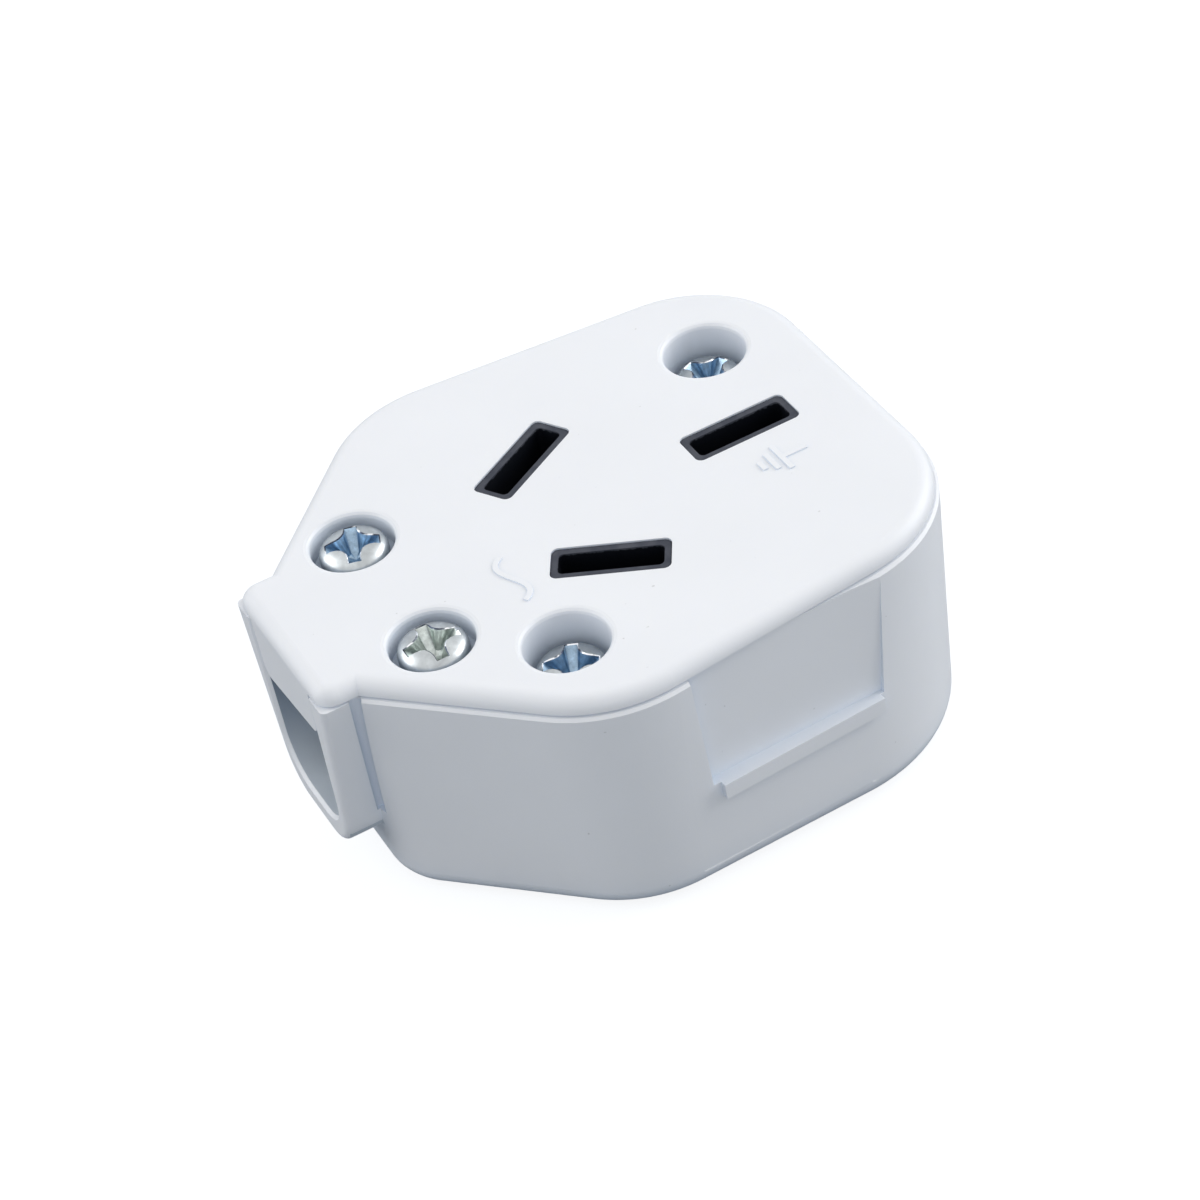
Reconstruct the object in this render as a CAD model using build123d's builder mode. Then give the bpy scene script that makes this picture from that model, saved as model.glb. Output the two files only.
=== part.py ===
from build123d import *
import math
import os

os.makedirs("parts", exist_ok=True)

# Driving dimensions of the housing, in mm.
# Origin: back face (z = 0) under the centre of the slot layout.
# +X runs to the earth end, -X to the cable mouth, +Z out of the slotted face.
body_height = 20.6
rim_height = 1.35
rim_fillet = 1.1
rim_inset = 0.3
rim_corner_radius = 1.5
rim_seam_chamfer = 0.18
base_seam_chamfer = 0.2
sign_height = 0.1
sign_line = 0.4
earth_sign_x = 12.0
earth_sign_y = -4.9
earth_sign_stem = 3.0
earth_sign_bar = 2.0
wall = 1.8
floor_height = 2.2
cover_plate = 2.2
lip_depth = 2.0
lip_wall = 1.1
fit_gap = 0.12
base_fillet = 1.9

# Plan outline: far end, two long sides, two slanted sides and the neck step.
far_x = 20.35
long_y = 19.65
long_slope = -0.1
long_slope_low = -0.015
slant_y = 11.96
slant_slope = 1.02
slant_ref_x = -20.0
neck_step_x = -24.9
front_corner_radius = 2.4
front_radius_low = 6.3
wide_corner_radius = 10.6
far_radius_left = 9.6
far_radius_right = 11.15
draft_slant = 0.97
draft_long = 0.06
draft_end = 0.76
draft_front = 1.05
wide_radius_loss = 0.45
far_radius_gain = 1.6

# Neck and cable mouth.
neck_front_x = -27.0
neck_half_width = 7.4
neck_low_half_width = 4.95
neck_bottom_z = 3.8
neck_outer_radius = 3.5
neck_edge_radius = 0.5
neck_overlap = 2.6
neck_rim_inset = 0.05
mouth_half_width = 5.05
mouth_low_half_width = 4.45
mouth_bottom_z = 5.6
mouth_inner_radius = 3.3
mouth_edge_chamfer = 0.25
tongue_bottom_near_z = 15.4
tongue_bottom_far_z = 14.3
tongue_thickness = 1.7
tongue_corner_radius = 0.9
tongue_taper = 0.25
tongue_inset = 0.1
groove_radius = 0.45
groove_low_x = -24.05
groove_low_y = 5.7
groove_low_z = 7.2

# Slot layout of the standard three-slot face.
slot_length = 8.55
slot_width = 3.24
live_x = -3.96
live_y = 6.86
slot_tilt = 30.0
earth_x = 10.31
slot_corner_radius = 0.55
collar_recess = 0.12
collar_gap = 0.05
pin_hole_length = 7.5
pin_hole_width = 2.1
pin_hole_corner = 0.4

# Screws.
clamp_screw_x = -17.9
clamp_screw_y = 6.5
case_screw_inset_near = 7.23
case_screw_inset_far = 9.99
case_screw_near = (-10.45, case_screw_inset_near - long_y)
case_screw_far = (12.81, long_y - case_screw_inset_far)
counterbore_radius = 3.1
hole_edge_radius = 0.42
screw_hole_radius = 1.65
shank_radius = 1.45
head_radius = 2.55
head_height = 2.0
cross_radius = 1.95
cross_width = 0.9
cross_depth = 1.3
clamp_head_depth = 0.0
case_head_depth = 1.9
clamp_tip_z = 0.6
case_tip_z = 0.7
clamp_turn_left = -20.0
clamp_turn_right = -2.0
case_turn_near = -28.0
case_turn_far = 24.0
nut_across_flats = 5.5
nut_height = 2.4
nut_bore_radius = 1.5
nut_pocket_depth = 2.9

# Bosses.
clamp_boss_radius = 2.8
clamp_flange_radius = 4.1
clamp_flange_top = 4.3
bar_gap = 0.05
bar_width = 5.4
bar_ridge_length = 6.4
bar_ridge_root = 1.6
bar_ridge_tip = 0.5
bar_ridge_height = 1.4
case_boss_radius = 4.0
cover_case_boss_radius = 4.2
cover_clamp_boss_radius = 3.9
boss_gap = 0.1
seat_floor = 2.0

# Grip recess with its ledge, one on each long side.
grip_start_high_x = -5.3
grip_start_low_x = -4.8
grip_end_high_x = 10.7
grip_end_low_x = 9.5
grip_inset = 0.03
grip_plane_y = long_y - grip_inset
grip_slope = -0.03
grip_depth = 0.7
grip_floor_z = 9.2
ledge_proud = 0.5
ledge_plane_y = grip_plane_y + ledge_proud
ledge_slope = -0.056
ledge_height = 1.3
ledge_root = 1.8
ledge_start_x = -4.2
ledge_end_x = 9.2

# Ribs inside the base.
saddle_offset = 1.4
saddle_top_z = 6.2
rib_thickness = 1.2
barrier_length = 5.0

# Contacts, terminals and carrier.
leaf_thickness = 0.6
leaf_length = 6.6
leaf_top_z = 14.0
leaf_bottom_z = 5.4
leaf_bite = 0.62
strip_z = 3.6
strip_height = 0.8
strip_width = 3.0
strip_length = 6.7
terminal_length = 4.8
terminal_width = 5.4
terminal_height = 6.2
terminal_x = -12.5
terminal_y = 4.3
earth_terminal_x = 13.2
earth_terminal_y = -9.3
wire_screw_radius = 2.1
wire_screw_head = 1.4
wire_screw_shank = 1.25
wire_screw_reach = 2.4
wire_slot_width = 0.7
wire_slot_depth = 0.7
carrier_plate = 1.85
carrier_skirt_bottom = 5.2
carrier_wall = 1.0
pocket_length = 8.4
pocket_width = 4.6

# Derived levels.
split_z = body_height - rim_height
plate_z = body_height - cover_plate
lip_z = split_z - lip_depth
clamp_seat_z = body_height - clamp_head_depth - head_height
case_seat_z = body_height - case_head_depth - head_height
clamp_screw_length = clamp_seat_z - clamp_tip_z
case_screw_length = case_seat_z - case_tip_z
cover_clamp_boss_z = clamp_seat_z - seat_floor
cover_case_boss_z = case_seat_z - seat_floor
clamp_bar_height = 2.9
base_clamp_boss_z = cover_clamp_boss_z - clamp_bar_height
base_case_boss_z = cover_case_boss_z - boss_gap
terminal_z = strip_z + strip_height
terminal_top_z = terminal_z + terminal_height
strip_mid_x = terminal_x - 0.9 + strip_length / 2
clamp_screws = [(clamp_screw_x, clamp_screw_y), (clamp_screw_x, -clamp_screw_y)]
case_screws = [case_screw_near, case_screw_far]
slots = [(live_x, live_y, slot_tilt), (live_x, -live_y, -slot_tilt), (earth_x, 0.0, 0.0)]


# Corner points of the body outline, each side moved inward by its own offset.
def body_corners(slant_in, long_in, end_in, front_in, slope=long_slope):
    slant_c = slant_y - slant_slope * slant_ref_x - slant_in * math.hypot(1, slant_slope)
    long_c = long_y - long_in * math.hypot(1, slope)
    wide_x = (long_c - slant_c) / (slant_slope - slope)
    wide_y = long_c + slope * wide_x
    end_x = far_x - end_in
    end_y = long_c + slope * end_x
    front_x = neck_step_x + front_in
    front_y = slant_c + slant_slope * front_x
    return [
        (front_x, -front_y),
        (wide_x, -wide_y),
        (end_x, -end_y),
        (end_x, end_y),
        (wide_x, wide_y),
        (front_x, front_y),
    ]


# Rounds the two front corners of the body outline that is being sketched.
def round_front(sketch, radius):
    front = sketch.vertices().group_by(Axis.X)[0]
    fillet(front, radius)


# Rounds the four large corners of the body outline that is being sketched.
def round_corners(sketch, inward, wide_loss=0.0, far_gain=0.0):
    wide = sketch.vertices().filter_by(lambda v: 0.7 * neck_step_x < v.X < 0)
    fillet(wide, wide_corner_radius - wide_loss - inward)
    left = sketch.vertices().filter_by(lambda v: v.X > 0.8 * far_x and v.Y > 0)
    fillet(left, far_radius_left + far_gain - inward)
    right = sketch.vertices().filter_by(lambda v: v.X > 0.8 * far_x and v.Y < 0)
    fillet(right, far_radius_right + far_gain - inward)


# Upright plane beside one long side, facing outward.
def side_plane(side, offset_y, slope):
    return Plane(origin=(0, offset_y * side, 0), x_dir=(1, slope * side, 0), z_dir=(-slope, side, 0))


# Base: tapered tray with neck, bosses, ribs, grip recesses and nut pockets.
with BuildPart() as base:
    with BuildSketch(Plane.XY) as base_low:
        with BuildLine():
            Polyline(*body_corners(draft_slant, draft_long, draft_end, draft_front, long_slope_low), close=True)
        make_face()
        round_front(base_low, front_radius_low)
        round_corners(base_low, 0.0, wide_radius_loss, far_radius_gain)
    with BuildSketch(Plane.XY.offset(split_z)) as base_high:
        with BuildLine():
            Polyline(*body_corners(0, 0, 0, 0), close=True)
        make_face()
        round_front(base_high, front_corner_radius)
        round_corners(base_high, 0.0)
    loft(ruled=True)
    bottom_edges = base.faces().sort_by(Axis.Z)[0].edges()
    fillet(bottom_edges, base_fillet)
    with BuildSketch(Plane.YZ.offset(neck_front_x)) as neck_profile:
        with BuildLine():
            Polyline(
                (-neck_half_width, split_z),
                (-neck_low_half_width, neck_bottom_z),
                (neck_low_half_width, neck_bottom_z),
                (neck_half_width, split_z),
                close=True,
            )
        make_face()
        fillet(neck_profile.vertices().group_by(Axis.Y)[0], neck_outer_radius)
    extrude(amount=neck_step_x - neck_front_x + neck_overlap)
    front_edges = base.faces().sort_by(Axis.X)[0].edges().filter_by(lambda e: e.center().Z < split_z - 0.01)
    fillet(front_edges, neck_edge_radius)
    top_outline = base.faces().sort_by(Axis.Z)[-1].edges().filter_by(lambda e: e.center().X > neck_step_x)
    chamfer(top_outline, base_seam_chamfer)
    with BuildSketch(Plane.XY.offset(floor_height)) as cavity_low:
        with BuildLine():
            slant_wall = draft_slant + wall
            front_wall = draft_front + wall
            long_wall = draft_long + wall
            end_wall = draft_end + wall
            Polyline(*body_corners(slant_wall, long_wall, end_wall, front_wall, long_slope_low), close=True)
        make_face()
        round_corners(cavity_low, wall, wide_radius_loss, far_radius_gain)
    with BuildSketch(Plane.XY.offset(split_z)) as cavity_high:
        with BuildLine():
            Polyline(*body_corners(wall, wall, wall, wall), close=True)
        make_face()
        round_corners(cavity_high, wall)
    loft(ruled=True, mode=Mode.SUBTRACT)
    with BuildSketch(Plane.YZ.offset(neck_front_x)) as mouth_profile:
        with BuildLine():
            Polyline(
                (-mouth_half_width, split_z),
                (-mouth_low_half_width, mouth_bottom_z),
                (mouth_low_half_width, mouth_bottom_z),
                (mouth_half_width, split_z),
                close=True,
            )
        make_face()
        fillet(mouth_profile.vertices().group_by(Axis.Y)[0], mouth_inner_radius)
    extrude(amount=neck_step_x - neck_front_x + draft_front + wall + 0.3, mode=Mode.SUBTRACT)
    mouth_rim = base.edges(Select.LAST).group_by(Axis.X)[0].filter_by(lambda e: e.center().Z < split_z - 0.01)
    chamfer(mouth_rim, mouth_edge_chamfer)
    groove_top_x = slant_ref_x + (neck_half_width - slant_y) / slant_slope
    for side in (1, -1):
        groove_top = Vector(groove_top_x, side * neck_half_width, split_z)
        groove_low = Vector(groove_low_x, side * groove_low_y, groove_low_z)
        groove_run = groove_low - groove_top
        with Locations(Plane(origin=groove_top - groove_run * 0.1, z_dir=groove_run)):
            groove_align = (Align.CENTER, Align.CENTER, Align.MIN)
            Cylinder(groove_radius, groove_run.length * 1.1, align=groove_align, mode=Mode.SUBTRACT)
    for side in (1, -1):
        up = -side
        with BuildSketch(side_plane(side, grip_plane_y, grip_slope).offset(2)):
            with BuildLine():
                Polyline(
                    (grip_start_low_x, up * grip_floor_z),
                    (grip_end_low_x, up * grip_floor_z),
                    (grip_end_high_x, up * (split_z + 0.5)),
                    (grip_start_high_x, up * (split_z + 0.5)),
                    close=True,
                )
            make_face()
        extrude(amount=-2 - grip_depth, mode=Mode.SUBTRACT)
        with BuildSketch(side_plane(side, ledge_plane_y, ledge_slope)):
            with Locations(((ledge_start_x + ledge_end_x) / 2, up * (grip_floor_z - ledge_height / 2))):
                Rectangle(ledge_end_x - ledge_start_x, ledge_height)
        extrude(amount=-ledge_root)
    with BuildSketch(Plane.XY.offset(floor_height - 0.5)):
        with Locations(*case_screws):
            Circle(case_boss_radius)
    extrude(amount=base_case_boss_z - floor_height + 0.5)
    with BuildSketch(Plane.XY.offset(floor_height - 0.5)):
        with Locations(*clamp_screws):
            Circle(clamp_boss_radius)
    extrude(amount=base_clamp_boss_z - floor_height + 0.5)
    with BuildSketch(Plane.XY.offset(floor_height - 0.5)):
        with Locations(*clamp_screws):
            Circle(clamp_flange_radius)
    extrude(amount=clamp_flange_top - floor_height + 0.5)
    for saddle_x in (clamp_screw_x - saddle_offset, clamp_screw_x + saddle_offset):
        with Locations((saddle_x, 0, (floor_height + saddle_top_z) / 2 - 0.1)):
            Box(rib_thickness, 2 * (clamp_screw_y - clamp_boss_radius) + 1.0, saddle_top_z - floor_height + 0.2)
    with Locations((terminal_x + barrier_length * 0.38, 0, (floor_height + terminal_top_z) / 2 - 0.1)):
        Box(barrier_length, rib_thickness, terminal_top_z - floor_height + 0.2)
    for slot_x, slot_y, tilt in slots:
        pad_u = pocket_length / 2 + carrier_wall / 2
        pad_side = 1
        if tilt == 0:
            pad_side = -1
        pad_x = slot_x + pad_side * pad_u * math.cos(math.radians(tilt))
        pad_y = slot_y + pad_side * pad_u * math.sin(math.radians(tilt))
        with Locations((pad_x, pad_y, (floor_height + carrier_skirt_bottom) / 2 - 0.1)):
            Box(1.6, 5.0, carrier_skirt_bottom - floor_height + 0.2, rotation=(0, 0, tilt))
    rest_near_x = terminal_x + 2.9
    rest_far_x = earth_terminal_x + 0.6
    rest_far_y = earth_terminal_y + 4.1
    rests = [(rest_near_x, terminal_y), (rest_near_x, -terminal_y), (rest_far_x, rest_far_y)]
    for rest_x, rest_y in rests:
        with Locations((rest_x, rest_y, (floor_height + strip_z) / 2 - 0.1)):
            Box(2.4, 2.4, strip_z - floor_height + 0.2)
    for rest_x, rest_y in ((terminal_x, terminal_y), (terminal_x, -terminal_y), (earth_terminal_x, earth_terminal_y)):
        with Locations((rest_x, rest_y, (floor_height + strip_z) / 2 - 0.1)):
            Box(1.6, 2.2, strip_z - floor_height + 0.2)
    with Locations(*[(x, y, body_height / 2) for x, y in case_screws + clamp_screws]):
        Cylinder(screw_hole_radius, body_height, mode=Mode.SUBTRACT)
    with BuildSketch(Plane.XY) as nut_pockets:
        with Locations(*(case_screws + clamp_screws)):
            RegularPolygon(nut_across_flats / 2 + 0.08, 6, major_radius=False)
    extrude(amount=nut_pocket_depth, mode=Mode.SUBTRACT)
base.part.label = "base"
export_step(base.part, "parts/base.step")

# Cover: rim plate, plug with lip, tongue, slots, counterbored bosses and raised signs.
with BuildPart() as cover:
    with BuildSketch(Plane.XY.offset(split_z)) as rim_plan:
        with BuildLine():
            Polyline(*body_corners(rim_inset, rim_inset, rim_inset, rim_inset), close=True)
        make_face()
        round_corners(rim_plan, rim_inset)
        with Locations((neck_front_x + tongue_inset, 0)):
            rim_neck = 2 * (neck_half_width - neck_rim_inset)
            Rectangle(neck_step_x - neck_front_x + wall, rim_neck, align=(Align.MIN, Align.CENTER))
        front_corners = rim_plan.vertices().group_by(Axis.X)[0]
        fillet(front_corners, rim_corner_radius)
    extrude(amount=rim_height)
    top_edges = cover.faces().sort_by(Axis.Z)[-1].edges()
    fillet(top_edges, rim_fillet)
    low_edges = cover.faces().sort_by(Axis.Z)[0].edges()
    chamfer(low_edges, rim_seam_chamfer)
    plug_in = wall + fit_gap
    plug_front = plug_in + 0.3
    with BuildSketch(Plane.XY.offset(plate_z)) as plug_plan:
        with BuildLine():
            Polyline(*body_corners(plug_in, plug_in, plug_in, plug_front), close=True)
        make_face()
        round_corners(plug_plan, plug_in)
    extrude(amount=split_z - plate_z)
    with BuildSketch(Plane.XY.offset(lip_z)) as lip_plan:
        with BuildLine():
            Polyline(*body_corners(plug_in, plug_in, plug_in, plug_front), close=True)
        make_face()
        round_corners(lip_plan, plug_in)
        with BuildSketch(mode=Mode.PRIVATE) as lip_core:
            core_in = plug_in + lip_wall
            with BuildLine():
                Polyline(*body_corners(core_in, core_in, core_in, core_in), close=True)
            make_face()
            round_corners(lip_core, core_in)
        add(lip_core.sketch, mode=Mode.SUBTRACT)
        with Locations((neck_step_x, 0)):
            Rectangle(3 * wall + 2, 2 * mouth_half_width, align=(Align.MIN, Align.CENTER), mode=Mode.SUBTRACT)
    extrude(amount=plate_z - lip_z)
    tongue_top_z = body_height - rim_fillet
    tongue_half_width = mouth_half_width - fit_gap
    with BuildSketch(Plane.YZ.offset(neck_front_x + tongue_inset)) as tongue_profile:
        with BuildLine():
            Polyline(
                (-tongue_half_width, tongue_top_z),
                (tongue_taper - tongue_half_width, tongue_bottom_near_z),
                (tongue_half_width - tongue_taper, tongue_bottom_far_z),
                (tongue_half_width, tongue_top_z),
                close=True,
            )
        make_face()
        fillet(tongue_profile.vertices().sort_by(Axis.Y)[:2], tongue_corner_radius)
    extrude(amount=tongue_thickness)
    with BuildSketch(Plane.XY.offset(cover_case_boss_z)):
        with Locations(*case_screws):
            Circle(cover_case_boss_radius)
    extrude(amount=plate_z - cover_case_boss_z)
    with BuildSketch(Plane.XY.offset(cover_clamp_boss_z)) as clamp_boss_plan:
        with BuildLine():
            Polyline(*body_corners(plug_in + 0.35, plug_in, plug_in, plug_in), close=True)
        make_face()
        with BuildSketch(mode=Mode.PRIVATE) as clamp_boss_rounds:
            with Locations(*clamp_screws):
                Circle(cover_clamp_boss_radius)
        add(clamp_boss_rounds.sketch, mode=Mode.INTERSECT)
    extrude(amount=plate_z - cover_clamp_boss_z)
    with BuildSketch(Plane.XY.offset(case_seat_z)):
        with Locations(*case_screws):
            Circle(counterbore_radius)
    extrude(amount=body_height, mode=Mode.SUBTRACT)
    with BuildSketch(Plane.XY.offset(clamp_seat_z)):
        with Locations(*clamp_screws):
            Circle(counterbore_radius)
    extrude(amount=body_height, mode=Mode.SUBTRACT)
    with Locations(*[(x, y, body_height / 2) for x, y in case_screws + clamp_screws]):
        Cylinder(screw_hole_radius, body_height, mode=Mode.SUBTRACT)
    for slot_x, slot_y, tilt in slots:
        with BuildSketch(Plane.XY.offset(plate_z - 1)) as slot_plan:
            with Locations(Location((slot_x, slot_y, 0), (0, 0, tilt))):
                RectangleRounded(slot_length, slot_width, slot_corner_radius)
        extrude(amount=cover_plate + 2, mode=Mode.SUBTRACT)
    for low_turn in (0, 30, 60):
        low = math.radians(low_turn)
        high = math.radians(low_turn + 30)
        low_radius = counterbore_radius + hole_edge_radius * (1 - math.cos(low))
        high_radius = counterbore_radius + hole_edge_radius * (1 - math.cos(high))
        low_z = body_height - hole_edge_radius * (1 - math.sin(low))
        step = hole_edge_radius * (math.sin(high) - math.sin(low))
        with Locations(*[(x, y, low_z + step / 2) for x, y in case_screws + clamp_screws]):
            Cone(low_radius, high_radius, step, mode=Mode.SUBTRACT)
    with BuildSketch(Plane.XY.offset(body_height)) as earth_sign:
        with Locations((earth_sign_x, earth_sign_y)):
            Rectangle(earth_sign_bar, sign_line)
        with Locations((earth_sign_x - 1.0, earth_sign_y)):
            Rectangle(sign_line, earth_sign_stem)
        with Locations((earth_sign_x - 1.8, earth_sign_y)):
            Rectangle(sign_line, earth_sign_stem - 1.0)
        with Locations((earth_sign_x - 2.6, earth_sign_y)):
            Rectangle(sign_line, earth_sign_stem - 2.0)
    extrude(amount=sign_height)
    with BuildSketch(Plane.XY.offset(body_height)) as wave_sign:
        with BuildLine() as wave_line:
            Spline((-10.2, -1.9), (-11.0, -3.1), (-10.5, -4.5), (-10.0, -5.9), (-10.8, -7.1))
        trace(line_width=sign_line)
    extrude(amount=sign_height)
cover.part.label = "cover"
export_step(cover.part, "parts/cover.step")

# Contact carrier: plate with three collars up into the slots and three skirts down.
with BuildPart() as contact_carrier:
    carrier_top = plate_z - 0.05
    with BuildSketch(Plane.XY.offset(carrier_top - carrier_plate)) as carrier_plan:
        Circle(9.2)
        for slot_x, slot_y, tilt in slots:
            with Locations(Location((slot_x, slot_y, 0), (0, 0, tilt))):
                RectangleRounded(pocket_length + 2 * carrier_wall, pocket_width + 2 * carrier_wall, 1.0)
    extrude(amount=carrier_plate)
    for slot_x, slot_y, tilt in slots:
        place = Location((slot_x, slot_y, 0), (0, 0, tilt))
        with BuildSketch(Plane.XY.offset(carrier_skirt_bottom)):
            with Locations(place):
                RectangleRounded(pocket_length + 2 * carrier_wall, pocket_width + 2 * carrier_wall, 1.0)
        extrude(amount=carrier_top - carrier_plate - carrier_skirt_bottom)
        with BuildSketch(Plane.XY.offset(carrier_top)):
            with Locations(place):
                collar_length = slot_length - 2 * collar_gap
                collar_width = slot_width - 2 * collar_gap
                RectangleRounded(collar_length, collar_width, slot_corner_radius - collar_gap)
        extrude(amount=body_height - collar_recess - carrier_top)
    for slot_x, slot_y, tilt in slots:
        place = Location((slot_x, slot_y, 0), (0, 0, tilt))
        with BuildSketch(Plane.XY.offset(carrier_skirt_bottom - 1)):
            with Locations(place):
                Rectangle(pocket_length, pocket_width)
        extrude(amount=carrier_top - carrier_plate - carrier_skirt_bottom + 1, mode=Mode.SUBTRACT)
        with BuildSketch(Plane.XY.offset(carrier_skirt_bottom)):
            with Locations(place):
                RectangleRounded(pin_hole_length, pin_hole_width, pin_hole_corner)
        extrude(amount=body_height, mode=Mode.SUBTRACT)
contact_carrier.part.label = "contact_carrier"
export_step(contact_carrier.part, "parts/contact_carrier.step")


# Outline of one spring leaf, seen along the slot: flared mouth, bite, foot.
def leaf_outline(side):
    t = leaf_thickness
    bite = leaf_bite
    points = [
        (1.35, leaf_top_z),
        (bite, leaf_top_z - 2.6),
        (bite, leaf_top_z - 4.0),
        (1.2, leaf_bottom_z + 2.0),
        (1.2, leaf_bottom_z),
        (1.2 + t, leaf_bottom_z),
        (1.2 + t, leaf_bottom_z + 2.1),
        (bite + t, leaf_top_z - 3.9),
        (bite + t, leaf_top_z - 2.7),
        (1.35 + t, leaf_top_z),
    ]
    return [(side * x, z) for x, z in points]


# One fork contact: two leaves joined by a web at one end of the slot.
def fork(web_end):
    with BuildPart() as clip:
        for side in (1, -1):
            with BuildSketch(Plane.YZ.offset(-leaf_length / 2)):
                with BuildLine():
                    Polyline(*leaf_outline(side), close=True)
                make_face()
            extrude(amount=leaf_length)
        web_x = web_end * (leaf_length / 2 - leaf_thickness / 2)
        with Locations((web_x, 0, (strip_z + leaf_bottom_z + 2.0) / 2)):
            Box(leaf_thickness, 2 * (1.2 + leaf_thickness), leaf_bottom_z + 2.0 - strip_z)
    return clip.part


# Live contact, with its strip to the terminal.
with BuildPart() as live_contact:
    add(fork(-1).moved(Location((live_x, live_y, 0), (0, 0, slot_tilt))))
    with Locations((strip_mid_x, terminal_y, strip_z + strip_height / 2)):
        Box(strip_length, strip_width, strip_height)
live_contact.part.label = "live_contact"
export_step(live_contact.part, "parts/live_contact.step")

# Neutral contact, mirrored.
with BuildPart() as neutral_contact:
    add(fork(-1).moved(Location((live_x, -live_y, 0), (0, 0, -slot_tilt))))
    with Locations((strip_mid_x, -terminal_y, strip_z + strip_height / 2)):
        Box(strip_length, strip_width, strip_height)
neutral_contact.part.label = "neutral_contact"
export_step(neutral_contact.part, "parts/neutral_contact.step")

# Earth contact, with its strip running to the side.
with BuildPart() as earth_contact:
    add(fork(1).moved(Location((earth_x, 0, 0))))
    with Locations((earth_terminal_x, (earth_terminal_y - 0.6 + 1.4) / 2, strip_z + strip_height / 2)):
        Box(strip_width, 2.0 - earth_terminal_y, strip_height)
earth_contact.part.label = "earth_contact"
export_step(earth_contact.part, "parts/earth_contact.step")


# Terminal block with a wire hole along X and a screw hole from above.
def terminal(x, y):
    with BuildPart() as block:
        with Locations((x, y, terminal_z + terminal_height / 2)):
            Box(terminal_length, terminal_width, terminal_height)
        chamfer(block.edges().filter_by(Axis.Z), 0.4)
        with Locations(Location((x, y, terminal_z + 2.6), (0, 90, 0))):
            Cylinder(1.6, 2 * terminal_length, mode=Mode.SUBTRACT)
        with Locations((x, y, terminal_z + 2.6 + terminal_height / 2)):
            Cylinder(1.3, terminal_height, mode=Mode.SUBTRACT)
    return block.part


# Cheese-head terminal screw with a straight slot.
def terminal_screw(x, y):
    with BuildPart() as screw:
        with Locations((x, y, terminal_top_z + wire_screw_head / 2)):
            Cylinder(wire_screw_radius, wire_screw_head)
        head_edges = screw.edges().group_by(Axis.Z)[-1]
        chamfer(head_edges, 0.25)
        with Locations((x, y, terminal_top_z - wire_screw_reach / 2)):
            Cylinder(wire_screw_shank, wire_screw_reach)
        with Locations((x, y, terminal_top_z + wire_screw_head)):
            Box(3 * wire_screw_radius, wire_slot_width, 2 * wire_slot_depth, mode=Mode.SUBTRACT)
    return screw.part


with BuildPart() as live_terminal:
    add(terminal(terminal_x, terminal_y))
live_terminal.part.label = "live_terminal"
export_step(live_terminal.part, "parts/live_terminal.step")

with BuildPart() as neutral_terminal:
    add(terminal(terminal_x, -terminal_y))
neutral_terminal.part.label = "neutral_terminal"
export_step(neutral_terminal.part, "parts/neutral_terminal.step")

with BuildPart() as earth_terminal:
    add(terminal(earth_terminal_x, earth_terminal_y))
earth_terminal.part.label = "earth_terminal"
export_step(earth_terminal.part, "parts/earth_terminal.step")

with BuildPart() as live_terminal_screw:
    add(terminal_screw(terminal_x, terminal_y))
live_terminal_screw.part.label = "live_terminal_screw"
export_step(live_terminal_screw.part, "parts/live_terminal_screw.step")

with BuildPart() as neutral_terminal_screw:
    add(terminal_screw(terminal_x, -terminal_y))
neutral_terminal_screw.part.label = "neutral_terminal_screw"
export_step(neutral_terminal_screw.part, "parts/neutral_terminal_screw.step")

with BuildPart() as earth_terminal_screw:
    add(terminal_screw(earth_terminal_x, earth_terminal_y))
earth_terminal_screw.part.label = "earth_terminal_screw"
export_step(earth_terminal_screw.part, "parts/earth_terminal_screw.step")

# Cord clamp bar across the two clamp screws, with a ridge that bites the cord.
with BuildPart() as cord_clamp_bar:
    bar_z = base_clamp_boss_z + bar_gap
    bar_height = clamp_bar_height - 2 * bar_gap
    with BuildSketch(Plane.XY.offset(bar_z)):
        with Locations((clamp_screw_x, 0)):
            SlotOverall(2 * clamp_screw_y + bar_width, bar_width, rotation=90)
    extrude(amount=bar_height)
    with BuildSketch(Plane.XZ.offset(-bar_ridge_length / 2)):
        with BuildLine():
            Polyline(
                (clamp_screw_x - bar_ridge_root, bar_z + bar_ridge_tip),
                (clamp_screw_x + bar_ridge_root, bar_z + bar_ridge_tip),
                (clamp_screw_x + bar_ridge_tip, bar_z - bar_ridge_height),
                (clamp_screw_x - bar_ridge_tip, bar_z - bar_ridge_height),
                close=True,
            )
        make_face()
    extrude(amount=bar_ridge_length)
    with Locations(*[(x, y, bar_z) for x, y in clamp_screws]):
        Cylinder(screw_hole_radius, 4 * bar_height, mode=Mode.SUBTRACT)
cord_clamp_bar.part.label = "cord_clamp_bar"
export_step(cord_clamp_bar.part, "parts/cord_clamp_bar.step")


# Pan-head cross-recess machine screw, seat at the given height, cross turned about Z.
def machine_screw(x, y, seat_z, length, turn):
    with BuildPart() as screw:
        with Locations((0, 0, head_height / 2)):
            Cylinder(head_radius, head_height)
        head_edges = screw.edges().group_by(Axis.Z)[-1]
        chamfer(head_edges, length=0.5, length2=0.9)
        with Locations((0, 0, -length / 2)):
            Cylinder(shank_radius, length)
        tip = screw.edges().group_by(Axis.Z)[0]
        chamfer(tip, 0.3)
        with BuildSketch(Plane.XY.offset(head_height)):
            Rectangle(2 * cross_radius, cross_width)
            Rectangle(cross_width, 2 * cross_radius)
        extrude(amount=-cross_depth, mode=Mode.SUBTRACT)
    return screw.part.moved(Location((x, y, seat_z), (0, 0, turn)))


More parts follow.
